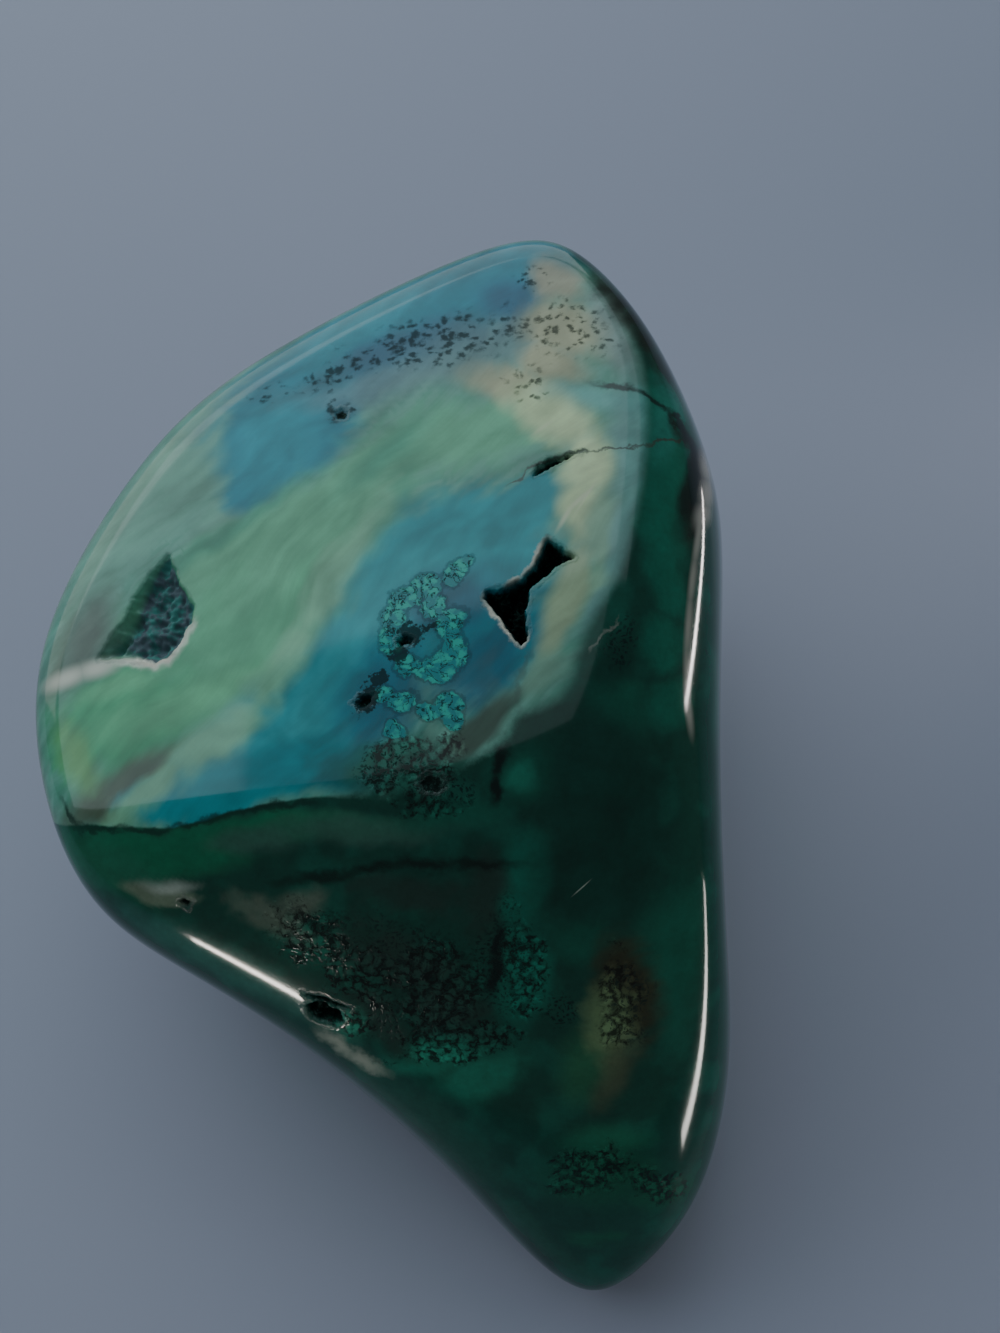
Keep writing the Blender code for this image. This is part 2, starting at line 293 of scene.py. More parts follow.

# The markings. The polish shows chrysocolla and pale malachite in swirls across the top face, called the
# crown, and deep malachite below it. The crown's tints are partly the stone's own colour and partly painted
# reflection of the bright overhead light that the top face catches. Each marking is a few ovals that run
# together, in millimetres as seen square on to the show side; slow waves and raggedness keep their edges
# natural.
CROWN_MARKINGS = (  # name, colour, strength, softness, raggedness, ovals: middle, half length and width, turn
    # partly painted reflection: a pale sheen along the left rim
    ("left rim sheen, painted", (0.17, 0.4, 0.29), 0.7, 0.6, 0.4, (
        ((-29.5, 22.5), 13.0, 4.6, 48), ((-21.6, 20.5), 5.0, 2.6, 40),
    )),
    ("upper chrysocolla", (0.004, 0.215, 0.285), 1, 0.28, 0.3, (
        ((-4.6, 40.2), 21.7, 5.9, 29), ((-15.9, 29.3), 8.4, 6.0, 45), ((-19.1, 24.2), 4.4, 2.6, 52),
    )),
    ("upper chrysocolla, paler", (0.01, 0.3, 0.37), 0.8, 0.6, 0.4, (
        ((-17.5, 26.7), 5.4, 3.8, 50), ((-10.3, 39.6), 7.6, 2.2, 30),
    )),
    ("upper chrysocolla, deeper", (0.006, 0.13, 0.235), 0.85, 0.6, 0.3, (
        ((6.0, 42.3), 3.2, 2.7, 0), ((-5.0, 37.6), 6.0, 1.8, 20),
    )),
    ("mauve haze", (0.15, 0.27, 0.29), 0.75, 0.6, 0.4, (
        ((-1.9, 34.7), 12.4, 2.0, 14), ((5.0, 37.2), 7.9, 2.6, 5),
    )),
    ("swirl", (0.115, 0.45, 0.235), 1, 0.4, 0.3, (((-17.3, 11.2), 14.2, 7.4, 48),)),
    ("pale swirl", (0.15, 0.48, 0.27), 0.9, 0.5, 0.5, (
        ((2.1, 28.0), 10.1, 2.9, 8), ((-5.2, 26.1), 7.7, 2.7, 30), ((-12.3, 19.4), 11.5, 3.8, 38),
        ((-25.0, 14.2), 9.2, 2.1, 38),
    )),
    ("swirl shade", (0.055, 0.29, 0.18), 0.8, 0.8, 0.5, (
        ((-5.9, 26.1), 5.3, 1.3, 40), ((-8.1, 16.9), 9.0, 1.2, 63), ((-22.8, 17.6), 8.7, 0.8, 35),
        ((-17.1, 3.2), 5.6, 1.1, 55),
    )),
    ("lower green", (0.048, 0.36, 0.16), 1, 0.45, 0.4, (((-30.5, 0.1), 8.0, 5.5, 20),)),
    ("lower green, pale", (0.13, 0.49, 0.24), 0.85, 0.8, 0.6, (
        ((-25.1, 1.9), 8.9, 1.7, 22), ((-31.3, 3.1), 4.8, 1.0, 20), ((-36.7, -4.0), 3.3, 0.9, -70),
    )),
    ("lower green, yellowish", (0.16, 0.4, 0.14), 0.8, 0.7, 0.5, (((-35.2, -4.8), 4.4, 1.6, -58),)),
    ("brown smudge", (0.085, 0.115, 0.08), 0.9, 0.6, 0.5, (
        ((-29.0, -5.4), 6.4, 1.5, 30), ((-33.2, -8.4), 3.6, 1.3, 10),
    )),
    ("vug halo", (0.12, 0.165, 0.13), 0.9, 0.7, 0.3, (((-36.0, 7.6), 5.2, 2.3, 62),)),
    ("axis chrysocolla", (0.006, 0.29, 0.325), 1, 0.18, 0.3, (
        ((-13.4, 1.5), 17.0, 4.6, 43), ((0.3, 14.1), 10.2, 8.2, 40), ((-22.2, -6.0), 8.8, 2.0, 12),
        ((6.4, 19.6), 5.2, 3.2, 40), ((7.6, 7.6), 4.0, 2.2, 70),
    )),
    ("axis, deep", (0.03, 0.38, 0.41), 0.9, 0.6, 0.4, (
        ((-9.2, 1.8), 9.6, 3.7, 45), ((-3.8, 10.6), 7.0, 5.4, 40),
    )),
    ("axis, navy", (0.008, 0.12, 0.185), 0.9, 0.6, 0.4, (
        ((4.0, 6.4), 6.6, 3.2, 38), ((0.6, 10.9), 5.5, 3.3, 5), ((-5.5, 3.2), 5.5, 3.8, 45),
    )),
    ("axis, near the rim", (0.004, 0.25, 0.29), 0.95, 0.4, 0.3, (((-12.6, -3.6), 8.0, 2.5, 5),)),
    ("axis foot", (0.014, 0.085, 0.062), 0.9, 0.7, 0.5, (((-3.9, -3.4), 5.8, 2.2, 8),)),
    ("pale streak", (0.22, 0.51, 0.31), 0.9, 0.6, 0.8, (
        ((-10.2, 14.3), 7.6, 1.5, 63), ((-15.0, 5.8), 5.6, 1.7, 56), ((-20.6, -1.0), 5.7, 1.5, 44),
        ((-27.6, -6.6), 5.4, 1.0, 34),
    )),
    ("right haze", (0.22, 0.29, 0.27), 0.8, 0.6, 0.4, (((16.4, 38.0), 4.8, 1.8, -68),)),
    ("beige band, grey", (0.36, 0.34, 0.23), 0.9, 0.5, 0.4, (((10.8, 44.3), 3.2, 2.2, -50),)),
    ("beige band, speckled", (0.47, 0.46, 0.28), 0.9, 0.5, 0.4, (
        ((10.8, 38.6), 4.4, 2.8, -15), ((10.0, 34.8), 3.4, 2.2, 0), ((6.2, 32.6), 4.6, 1.9, -14),
    )),
    ("beige band, yellow", (0.62, 0.76, 0.42), 0.9, 0.5, 0.4, (
        ((9.8, 29.2), 4.8, 2.5, -30), ((12.9, 24.5), 3.6, 2.3, 85), ((12.6, 20.2), 3.4, 1.9, 85),
    )),
    ("beige band, green", (0.26, 0.47, 0.31), 0.9, 0.5, 0.4, (
        ((14.6, 17.5), 3.9, 1.7, 75), ((13.6, 12.5), 2.9, 1.3, 60),
    )),
    ("beige band, lower", (0.36, 0.47, 0.28), 0.9, 0.45, 0.4, (((11.2, 11.2), 5.2, 1.4, 78),)),
    ("beige band, foot", (0.17, 0.35, 0.25), 0.9, 0.5, 0.5, (((9.5, 4.6), 2.9, 1.7, 20),)),
    ("foot knobs", (0.016, 0.135, 0.092), 0.85, 0.6, 0.8, (
        ((-4.6, -2.2), 3.0, 1.5, 15), ((-1.2, -4.6), 3.4, 1.6, 10),
    )),
    ("ray patch", (0.045, 0.075, 0.05), 0.85, 0.4, 0.4, (((3.7, 0.4), 4.2, 1.6, 42),)),
    ("rim teal", (0.17, 0.4, 0.36), 0.85, 0.5, 0.4, (
        ((17.2, 26.9), 6.2, 1.8, 88), ((16.4, 17.6), 6.2, 1.2, 76), ((14.2, 11.2), 3.0, 0.8, 62),
    )),
    ("rim teal, pale", (0.16, 0.46, 0.42), 0.7, 0.8, 0.4, (((14.2, 31.2), 4.6, 1.3, -5),)),
    ("brown edge", (0.085, 0.1, 0.085), 0.8, 0.6, 0.3, (((18.2, 39.6), 6.1, 1.0, -58),)),
)

FRONT_MARKINGS = (  # name, colour, strength, softness, raggedness, ovals: middle, half length and width, turn
    ("right green", (0.004, 0.13, 0.082), 1, 0.45, 0.4, (
        ((20.9, 23.0), 9.0, 2.5, 88), ((19.7, 31.1), 2.9, 1.7, 60),
    )),
    ("right green, teal", (0.02, 0.21, 0.155), 0.85, 0.6, 0.4, (((20.6, 29.6), 4.2, 1.5, 80),)),
    ("deep band", (0.003, 0.14, 0.066), 1, 0.4, 0.4, (
        ((-27.5, -11.7), 8.8, 2.2, 0), ((-15.6, -9.4), 12.8, 1.5, 3),
    )),
    ("deep band, brown", (0.042, 0.125, 0.09), 0.8, 0.6, 0.5, (
        ((-8.1, -9.4), 7.7, 1.5, 3), ((-17.6, -10.4), 4.0, 1.2, 0),
    )),
    ("left end green", (0.01, 0.145, 0.08), 0.9, 0.6, 0.4, (
        ((-31.4, -13.9), 5.6, 2.3, -25), ((-35.2, -12.0), 2.8, 1.1, -60),
    )),
    ("lower band", (0.04, 0.165, 0.125), 0.85, 0.6, 0.4, (((-20.1, -23.9), 10.9, 1.6, -29),)),
    ("lower band, front", (0.012, 0.085, 0.055), 0.8, 0.7, 0.4, (
        ((-2.3, -38.6), 10.2, 1.9, -45), ((9.5, -51.8), 6.0, 1.2, -45),
    )),
    ("emerald column", (0.003, 0.14, 0.092), 0.95, 0.35, 0.3, (
        ((6.8, -14.6), 4.4, 2.3, 88), ((7.2, -23.6), 5.0, 2.4, 85),
    )),
    ("emerald clouds", (0.004, 0.115, 0.072), 0.85, 0.7, 0.5, (
        ((16.0, 2.1), 2.9, 1.8, -50), ((7.4, -4.8), 3.0, 2.1, 20), ((1.4, -8.0), 4.5, 1.3, 5),
        ((20.6, -20.5), 2.8, 5.6, 0), ((12.5, -19.1), 2.8, 2.2, 0), ((-12.4, -20.6), 4.6, 2.4, -20),
    )),
    ("emerald, bright", (0.01, 0.19, 0.12), 0.9, 0.5, 0.6, (
        ((-1.2, -31.2), 3.6, 1.6, 10), ((2.8, -33.4), 4.3, 2.0, 15), ((-9.2, -28.6), 2.1, 1.7, -20),
        ((7.6, -5.0), 1.6, 1.2, 20),
    )),
    ("emerald, olive", (0.018, 0.115, 0.055), 0.9, 0.6, 0.4, (((12.6, -32.2), 3.6, 2.3, 80),)),
    ("nose emerald, bright", (0.006, 0.135, 0.075), 0.9, 0.6, 0.4, (((15.3, -40.3), 4.2, 1.6, 0),)),
    ("nose emerald", (0.004, 0.095, 0.05), 0.9, 0.6, 0.4, (
        ((15.3, -44.0), 5.0, 2.6, 0), ((14.9, -50.6), 2.8, 0.8, 0), ((20.2, -46.6), 3.5, 1.2, -10),
    )),
    ("ochre lens", (0.036, 0.033, 0.014), 0.9, 0.5, 0.8, (((16.6, -24.6), 5.0, 2.3, 100),)),
    ("ochre lens, olive side", (0.13, 0.215, 0.1), 0.85, 0.6, 0.8, (((14.8, -28.0), 3.8, 1.8, 82),)),
    ("tan streak", (0.08, 0.095, 0.05), 0.7, 0.8, 0.9, (((15.2, -32.6), 3.6, 1.3, 76),)),
    ("brown patch", (0.13, 0.165, 0.12), 0.75, 0.7, 1.2, (
        ((-16.5, -18.0), 3.6, 1.6, -25), ((-13.8, -16.8), 2.0, 1.2, 10),
    )),
    ("olive lens", (0.15, 0.21, 0.14), 0.95, 0.25, 0.3, (((-27.1, -15.9), 3.6, 1.2, -12),)),
    ("olive lens, pale edge", (0.36, 0.42, 0.36), 0.8, 0.9, 0.2, (((-26.4, -14.8), 2.2, 0.55, -4),)),
    ("crust, brown", (0.016, 0.042, 0.031), 0.8, 0.6, 0.9, (
        ((-4.6, -21.8), 5.4, 2.8, -15), ((0.2, -26.4), 4.2, 2.6, -20), ((-5.6, -28.0), 3.6, 1.6, -40),
        ((-3.0, -15.4), 5.6, 1.5, 0), ((3.4, -15.6), 1.6, 3.4, 0),
    )),
    ("corner knots", (0.004, 0.125, 0.08), 0.9, 0.4, 0.5, (
        ((19.7, 8.0), 2.0, 2.6, 0), ((20.4, 13.0), 3.2, 1.5, -70), ((20.4, 2.4), 2.0, 2.2, 0),
    )),
    # painted shade: a dark band where the right rim turns away from the light
    ("painted rim shade", (0.005, 0.009, 0.007), 0.9, 0.5, 0.4, (((23.8, 23.4), 5.4, 1.0, 74),)),
    ("dark foot", (0.003, 0.036, 0.024), 0.75, 0.7, 0.4, (
        ((15.8, -7.6), 5.0, 6.3, 0), ((13.2, -14.0), 5.4, 4.5, 0), ((15.6, 5.6), 3.4, 1.4, 65),
    )),
)

# The rim of the top face as seen square on, closed far behind the stone; the crown's tints, with their
# painted reflection, end at it.
TOP_FACE_RIM = (
    (-60.0, -9.8), (-35.1, -9.6), (-30.2, -9.6), (-25.3, -9.4), (-22.1, -8.7), (-19.7, -7.8), (-13.2, -6.7),
    (-6.0, -5.9), (-1.3, -5.5), (1.0, -4.0), (3.2, -2.5), (5.4, -0.9), (6.9, 1.0), (8.6, 1.5), (10.6, 2.4),
    (11.7, 4.3), (12.1, 6.2), (12.8, 8.8), (14.4, 11.6), (16.4, 15.2), (17.5, 19.0), (18.4, 23.9),
    (18.9, 28.5), (18.9, 32.5), (18.7, 36.0), (17.6, 41.0), (14.9, 44.8), (12.6, 47.0), (9.0, 70.0),
    (-60.0, 70.0),
)
# Specks, pits and crusts are ovals too: middle, half length and width, turn.
DIAGONAL_SPECKS = (
    ((-0.7, 38.0), 9.0, 2.7, 10), ((-11.8, 34.6), 4.0, 1.4, 26), ((-18.6, 32.7), 2.0, 1.0, 15),
    ((-11.0, 30.9), 1.5, 1.2, 0),
)
BEIGE_SPECKS = (
    ((12.1, 38.4), 4.4, 3.2, 0), ((8.4, 44.6), 1.9, 1.7, 0), ((7.8, 32.8), 2.2, 2.0, 0),
)
FRONT_PITS = (
    ((-4.5, -3.6), 3.6, 2.2, 12), ((-0.4, -6.0), 3.6, 1.9, 10), ((-11.5, -20.0), 4.6, 3.0, -25),
    ((-3.0, -22.5), 6.6, 4.6, -20), ((-2.0, -27.5), 6.6, 3.4, 10), ((5.0, -22.5), 3.2, 6.0, 0),
    ((10.6, -26.6), 1.6, 2.4, 0), ((14.6, -43.6), 5.0, 2.6, 5), ((20.2, -45.6), 3.0, 1.6, -20),
    ((16.6, -26.0), 2.6, 4.8, 10), ((16.0, 7.2), 1.8, 2.8, -20),
)
TURQUOISE = (
    ((-3.8, 11.7), 1.3, 1.1, 0), ((-2.0, 12.5), 1.4, 1.1, 20), ((-4.8, 10.0), 1.1, 1.2, 0),
    ((-5.0, 7.9), 1.0, 1.3, 0), ((-3.5, 5.7), 1.2, 1.0, 20), ((-1.3, 10.8), 1.4, 1.2, 0),
    ((0.2, 9.2), 1.7, 1.4, 40), ((0.7, 6.9), 1.4, 1.6, 0), ((-0.8, 5.2), 1.5, 1.2, 0),
    ((-4.1, 2.1), 1.6, 1.0, 10), ((-5.6, 2.8), 1.1, 0.9, 0), ((0.2, 1.9), 1.2, 1.1, 0),
    ((0.9, 0.5), 0.9, 1.0, 0), ((-1.4, 1.3), 1.0, 0.8, 0), ((-4.6, -0.3), 0.9, 0.8, 0),
    ((0.9, 14.2), 1.6, 0.9, 50),
)
GREEN_CRUSTS = (
    ((-4.2, -1.9), 2.2, 1.2, 20), ((-1.4, -3.8), 3.2, 2.0, 10), ((-5.6, -4.8), 2.0, 1.2, 0),
    ((0.6, -1.6), 1.4, 1.4, 30), ((-1.2, -7.0), 3.6, 1.4, 0), ((-12.4, -19.6), 4.4, 2.6, -20),
    ((-7.6, -23.4), 5.0, 3.4, -30), ((-1.2, -25.0), 5.0, 5.0, 0), ((-0.8, -30.4), 5.0, 2.4, 10),
    ((-8.6, -28.6), 2.8, 1.8, -30), ((7.0, -22.6), 2.6, 5.4, 0), ((4.0, -28.8), 3.0, 2.0, 20),
    ((14.4, -43.6), 5.2, 2.8, 5), ((20.2, -45.6), 3.2, 1.8, -15), ((16.2, -25.6), 2.2, 4.8, 8),
)
MATRIX = (
    ((-4.3, 6.6), 1.0, 0.7, 50), ((-6.0, 4.2), 0.9, 0.7, 50), ((-3.2, 8.4), 1.3, 1.1, 10),
    ((-7.2, 2.4), 1.6, 0.9, 60), ((-1.6, 8.9), 1.4, 0.4, 30),
)
VEINS_AND_RIM_SHADE = (  # name, colour, strength, half width, softness, points
    ("slit hairline", (0.05, 0.06, 0.045), 0.8, 0.15, 0.6, (
        (5.9, 22.6), (7.8, 24.0), (10.7, 25.3), (13.8, 25.8), (18.3, 26.6), (23.5, 27.4),
    )),
    # painted shade: the rim rows darken the right rim where it turns away from the light
    ("painted rim shade line", (0.006, 0.012, 0.01), 0.85, 0.34, 0.6, (
        (14.7, 32.8), (18.5, 31.9), (21.2, 30.2), (23.5, 27.4), (24.3, 23.4),
    )),
    ("rim shadow", (0.012, 0.016, 0.012), 0.9, 0.8, 0.8, (
        (22.2, 28.6), (23.9, 26.4), (24.5, 24.0), (24.4, 22.0), (23.7, 19.6), (23.0, 17.3),
    )),
    ("top rim shadow", (0.014, 0.016, 0.011), 0.85, 1.1, 0.9, (
        (14.4, 44.4), (16.2, 42.6), (17.6, 40.9), (18.8, 39.0), (20.3, 36.2), (22.0, 33.0),
    )),
    ("front seam", (0.001, 0.008, 0.005), 0.8, 0.5, 0.8, (
        (-14.3, -14.3), (-8.7, -13.4), (-4.5, -12.4), (0.5, -12.7), (5.9, -12.6),
    )),
    ("rim line", (0.003, 0.03, 0.02), 0.8, 0.3, 0.7, (
        (-36.5, -7.6), (-34.6, -9.8), (-30.2, -9.9), (-25.3, -9.7), (-19.7, -8.1), (-12.2, -6.9),
    )),
    ("pit streak", (0.001, 0.008, 0.006), 0.95, 0.6, 0.6, ((5.3, -2.2), (4.8, -4.4), (4.3, -6.8))),
    ("column crack", (0.001, 0.006, 0.005), 0.95, 0.55, 0.6, ((4.9, -18.6), (4.7, -21.4), (4.1, -24.6))),
    ("foot seam", (0.05, 0.09, 0.07), 0.4, 0.3, 0.7, ((7.6, 6.6), (6.6, 4.2), (6.9, 1.8))),
    ("worn edge", (0.36, 0.4, 0.32), 0.8, 0.6, 0.9, ((-11.6, -29.9), (-9.2, -31.6), (-6.6, -33.2))),
    ("corner crack", (0.22, 0.24, 0.2), 0.7, 0.14, 0.7, ((13.4, 6.8), (14.2, 8.4), (15.4, 9.6))),
)
WEAR_AND_PAINTED_HIGHLIGHTS = (  # name, colour, strength, half width, softness, points
    # painted highlight on the left vug's rounded lip
    ("vug lip highlight, left", (0.74, 0.76, 0.64), 0.9, 0.75, 0.9, ((-38.6, 3.6), (-35.4, 4.8), (-32.4, 5.5))),
    ("wheel scratch", (0.66, 0.72, 0.5), 0.7, 0.2, 0.9, ((10.6, 18.5), (11.6, 20.2), (13.2, 21.7))),
    ("wheel scratch, right", (0.66, 0.72, 0.5), 0.5, 0.1, 0.9, ((12.4, 20.2), (13.7, 22.3))),
    ("wheel scratch, upper", (0.68, 0.76, 0.5), 0.5, 0.16, 0.9, ((8.5, 27.8), (9.8, 28.8))),
    # painted highlight: a pale line along the right rim, where the ridge would catch the light
    ("painted rim highlight, upper", (0.34, 0.34, 0.3), 0.85, 0.75, 0.9, (
        (25.3, 26.3), (25.4, 23.6), (24.9, 20.9), (24.1, 18.9),
    )),
    ("painted rim highlight, lower", (0.3, 0.31, 0.27), 0.85, 0.3, 0.9, (
        (24.1, 18.9), (23.4, 15.4), (22.8, 11.6), (22.3, 6.9), (22.3, 2.3), (22.6, -0.4),
    )),
    ("polish bruise", (0.7, 0.8, 0.66), 0.5, 0.05, 0.8, ((11.9, -15.2), (12.9, -14.3))),
)
RIM_HIGHLIGHT_OVALS = (  # where a vug's rim gets a painted pale highlight
    ((-27.0, 5.7), 3.4, 0.9, 8), ((5.6, 9.4), 3.8, 1.3, -48), ((7.4, 15.2), 3.4, 0.9, 52),
)
LIP_HIGHLIGHT_OVALS = (  # where a vug's rounded lip gets a broad painted highlight
    ((-24.8, 7.2), 1.4, 2.8, -24), ((-28.6, 5.3), 4.6, 1.6, 6),
)
BLUE_LININGS = (  # where the crystals in a vug are blue-green
    ((-29.0, 10.6), 8.0, 8.0, 0),
)

show_places = np.stack((places[:, 0], places @ SHOW_UP, places @ SHOW_TOWARD), axis=1)


def clouds_at(spots, size, layers=2):
    """Soft natural variation about this many millimetres across, from about -1 to 1."""
    return np.array([noise.fractal(spot, 1.0, 2.0, layers) for spot in (spots / size).tolist()])


def waves_at(spots, size, amount):
    """Slow waves this many millimetres long, which move each place by up to this amount."""
    return np.array([noise.noise_vector(spot) for spot in (spots / size).tolist()]) * amount


def turned(spots, middle, turn, along, across):
    """Places measured from the middle, along a turned direction and across it."""
    cosine, sine = math.cos(math.radians(turn)), math.sin(math.radians(turn))
    away = spots[:, :2] - middle
    return np.stack(((away[:, 0] * cosine + away[:, 1] * sine) / along,
                     (away[:, 1] * cosine - away[:, 0] * sine) / across, spots[:, 2] / across), axis=1)


def reach_of(spots, ovals):
    """0 in the middle of the nearest oval and 1 on its edge."""
    return np.minimum.reduce([
        np.linalg.norm(turned(spots, middle, turn, along, across)[:, :2], axis=1)
        for middle, along, across, turn in ovals
    ])


def fading(values, start, end):
    """0 before the start and 1 past the end, smoothly; the start may be the larger."""
    part = np.clip((values - start) / (end - start), 0, 1)
    return part * part * (3 - 2 * part)


def paint(tints, mask, colour):
    """Lays a colour over the tints, as strongly as the mask says."""
    tints += mask[:, None] * (np.array(colour) - tints)


def paint_markings(tints, markings, within):
    """Lays each marking over the tints; its edge follows the flow, feathered by the grain."""
    for name, colour, strength, softness, raggedness, ovals in markings:
        mask = fading(reach_of(flow, ovals) + raggedness * feather, 1 + softness, 1 - softness)
        paint(tints, strength * within * mask, colour)


# The markings lie in slow waves with small ones on them, and the crown's fibres in wide swirls as well.
WAVE_SEED = 4  # Blender otherwise takes the waves' seed from the clock
noise.seed_set(WAVE_SEED)
GRAIN_TURN = 46  # the fibres run up to the right at this angle
flow = show_places + waves_at(show_places, 9.0, 1.5) + waves_at(show_places, 2.6, 0.5)
drift = flow + waves_at(show_places, 21.0, 7.0)
fibres = clouds_at(turned(drift, (0, 0), GRAIN_TURN, 7.0, 0.9), 1.0)
feather = 0.30 * fibres + 0.22 * clouds_at(flow, 1.8)

# Dark malachite right through, with emerald clouds.
DARK_MALACHITE = (0.003, 0.038, 0.024)
EMERALD = (0.005, 0.095, 0.058)
BRIGHT_EMERALD = (0.009, 0.165, 0.105)
stirred = places + waves_at(places, 8.0, 3.0)
cloud = clouds_at(stirred, 11.0, 3)
front_tint = np.tile(DARK_MALACHITE, (len(places), 1))
paint(front_tint, fading(cloud, -0.10, 0.35), EMERALD)
paint(front_tint, 0.8 * fading(cloud, 0.25, 0.60), BRIGHT_EMERALD)

# The show side's own markings fade out a few millimetres down the walls.
FRONT_GREEN = (0.005, 0.058, 0.038)
FRONT_CLOUD = (0.006, 0.106, 0.070)
crown_depth = gaps_outside(CROWN_FACES, places).max(axis=0)
shown = fading(crown_depth + 3.0 * cloud, -10.0, -4.5)
paint(front_tint, shown, FRONT_GREEN)
paint(front_tint, shown * 0.7 * fading(clouds_at(flow, 6.0, 3), 0.0, 0.5), FRONT_CLOUD)
paint_markings(front_tint, FRONT_MARKINGS, shown)

# The crown is pale green and fibrous under its markings, partly its own colour and partly painted reflection,
# with a veil where it turns over to the walls. A vug's broad pale lip is a painted highlight.
CROWN_GREEN = (0.095, 0.315, 0.225)
CROWN_FIBRE = (0.14, 0.37, 0.28)
LIP_HIGHLIGHT_CREAM = (0.86, 0.87, 0.74)
VEIL_GREEN = (0.17, 0.30, 0.19)
VEIL_CLOUD = (0.05, 0.24, 0.15)
crown_tint = np.tile(CROWN_GREEN, (len(places), 1))
paint(crown_tint, fading(fibres, -0.25, 0.3), CROWN_FIBRE)
paint_markings(crown_tint, CROWN_MARKINGS, 1)
# painted highlight: a broad pale lip on the arrowhead vug
lip_highlight = fading(mouth_edge, -1.0, -0.1) * fading(reach_of(show_places, LIP_HIGHLIGHT_OVALS), 1.3, 0.6)
paint(crown_tint, 0.95 * lip_highlight, LIP_HIGHLIGHT_CREAM)
turning_over = fading(facing @ SHOW_TOWARD, 0.62, 0.30)
paint(crown_tint, 0.75 * turning_over, VEIL_GREEN)
paint(crown_tint, 0.7 * turning_over * fading(cloud, -0.1, 0.3), VEIL_CLOUD)

streaks = clouds_at(turned(drift, (0, 0), 42, 9.0, 1.6), 1.0) + 0.7 * clouds_at(flow + 30, 5.0)
crown_tint *= (1 + 0.26 * np.clip(streaks, -0.8, 0.8))[:, None]

# How far inside the top face's rim each place lies, in millimetres.
inside_rim = inside_outline((0.25 * flow + 0.75 * show_places)[:, :2], TOP_FACE_RIM)


def keep_at_corners(piece, name, values):
    """Keeps a number or a colour for each corner, which the shader reads by this name."""
    coloured = values.ndim == 2
    layer = piece.data.attributes.new(name, "FLOAT_COLOR" if coloured else "FLOAT", "POINT")
    if coloured:
        values = np.column_stack((values, np.ones(len(values))))
    layer.data.foreach_set("color" if coloured else "value", values.ravel())


keep_at_corners(stone, "mouth", np.clip(mouth_edge, -MOUTH_LIMIT, MOUTH_LIMIT))
keep_at_corners(stone, "crown tint", crown_tint)
keep_at_corners(stone, "front tint", front_tint)
keep_at_corners(stone, "inside rim", np.clip(inside_rim, -4, 4))
keep_at_corners(stone, "shown", shown)

# How far inside its ovals each place lies, 1 in the middle and 0 on the edge.
eased = show_places + waves_at(show_places, 2.6, 0.5)
for name, ovals in (
    ("diagonal specks", DIAGONAL_SPECKS), ("beige specks", BEIGE_SPECKS), ("front pits", FRONT_PITS),
    ("turquoise", TURQUOISE), ("green crusts", GREEN_CRUSTS), ("matrix", MATRIX),
    ("rim highlights", RIM_HIGHLIGHT_OVALS), ("blue linings", BLUE_LININGS),
):
    keep_at_corners(stone, name, np.clip(1 - reach_of(eased, ovals), -1.5, 1))

# The underside is sawn flat and its edge left crisp, so that the stone rests without rocking. The cut
# goes through the mesh at table height and is closed with one flat face.
bpy.ops.object.mode_set(mode="EDIT")
bpy.ops.mesh.select_all(action="SELECT")
bpy.ops.mesh.bisect(plane_co=(0, 0, 0), plane_no=(0, 0, -1), use_fill=True, clear_outer=True, threshold=1e-7)
bpy.ops.mesh.select_all(action="SELECT")
bpy.ops.mesh.normals_make_consistent(inside=False)
bpy.ops.object.mode_set(mode="OBJECT")
bpy.ops.object.shade_smooth()


# The polished malachite itself: glassy over the painted tints, which get their fine grain here. Growth
# rings cross the hidden sides. Specks, crusts, veins and scratches lie in the polish, and the vugs and
# pits are dull, with a lining of small crystals. Painted shade darkens the right rim and the front pits,
# and painted highlights lie on the vug lips and along the right rim.
class Field:
    """A socket of the stone's shader, on which Python's arithmetic adds Math nodes."""

    tree = None

    def __init__(self, socket):
        self.socket = socket

    @classmethod
    def node(cls, kind, settings, sockets, output=0):
        """Adds a node: its settings first, then the values or links of its sockets."""
        made = cls.tree.nodes.new(kind)
        for name, value in settings.items():
            setattr(made, name, value)
        for name, value in sockets.items():
            if isinstance(value, Field):
                cls.tree.links.new(value.socket, made.inputs[name])
            else:
                made.inputs[name].default_value = value
        return cls(made.outputs[output])

    def maths(self, operation, first, second):
        return Field.node("ShaderNodeMath", {"operation": operation}, {0: first, 1: second})

    def __add__(self, other):
        return self.maths("ADD", self, other)

    __radd__ = __add__

    def __sub__(self, other):
        return self.maths("SUBTRACT", self, other)

    def __rsub__(self, other):
        return self.maths("SUBTRACT", other, self)

    def __mul__(self, other):
        return self.maths("MULTIPLY", self, other)

    __rmul__ = __mul__


def fade(value, start, end):
    """0 before the start and 1 past the end, smoothly; the start may be the larger."""
    return Field.node("ShaderNodeMapRange", {"interpolation_type": "SMOOTHSTEP"},
                      {"Value": value, "From Min": start, "From Max": end})


def painted(below, mask, above):
    """One colour laid over another, as strongly as the mask says."""
    return Field.node("ShaderNodeMix", {"data_type": "RGBA"}, {0: mask, 6: below, 7: above}, 2)


def clouds(where, size, detail=2.0, roughness=0.5, flat=True):
    """Soft natural variation about this many millimetres across, from 0 to 1 and mostly near 0.5."""
    return Field.node("ShaderNodeTexNoise", {"noise_dimensions": "2D" if flat else "3D"},
                      {"Vector": where, "Scale": 1 / size, "Detail": detail, "Roughness": roughness})


def cells(where, size):
    """How far each place is from the middle of its cell, in cells this many millimetres across."""
    return Field.node("ShaderNodeTexVoronoi", {"voronoi_dimensions": "2D"},
                      {"Vector": where, "Scale": 1 / size}, "Distance")


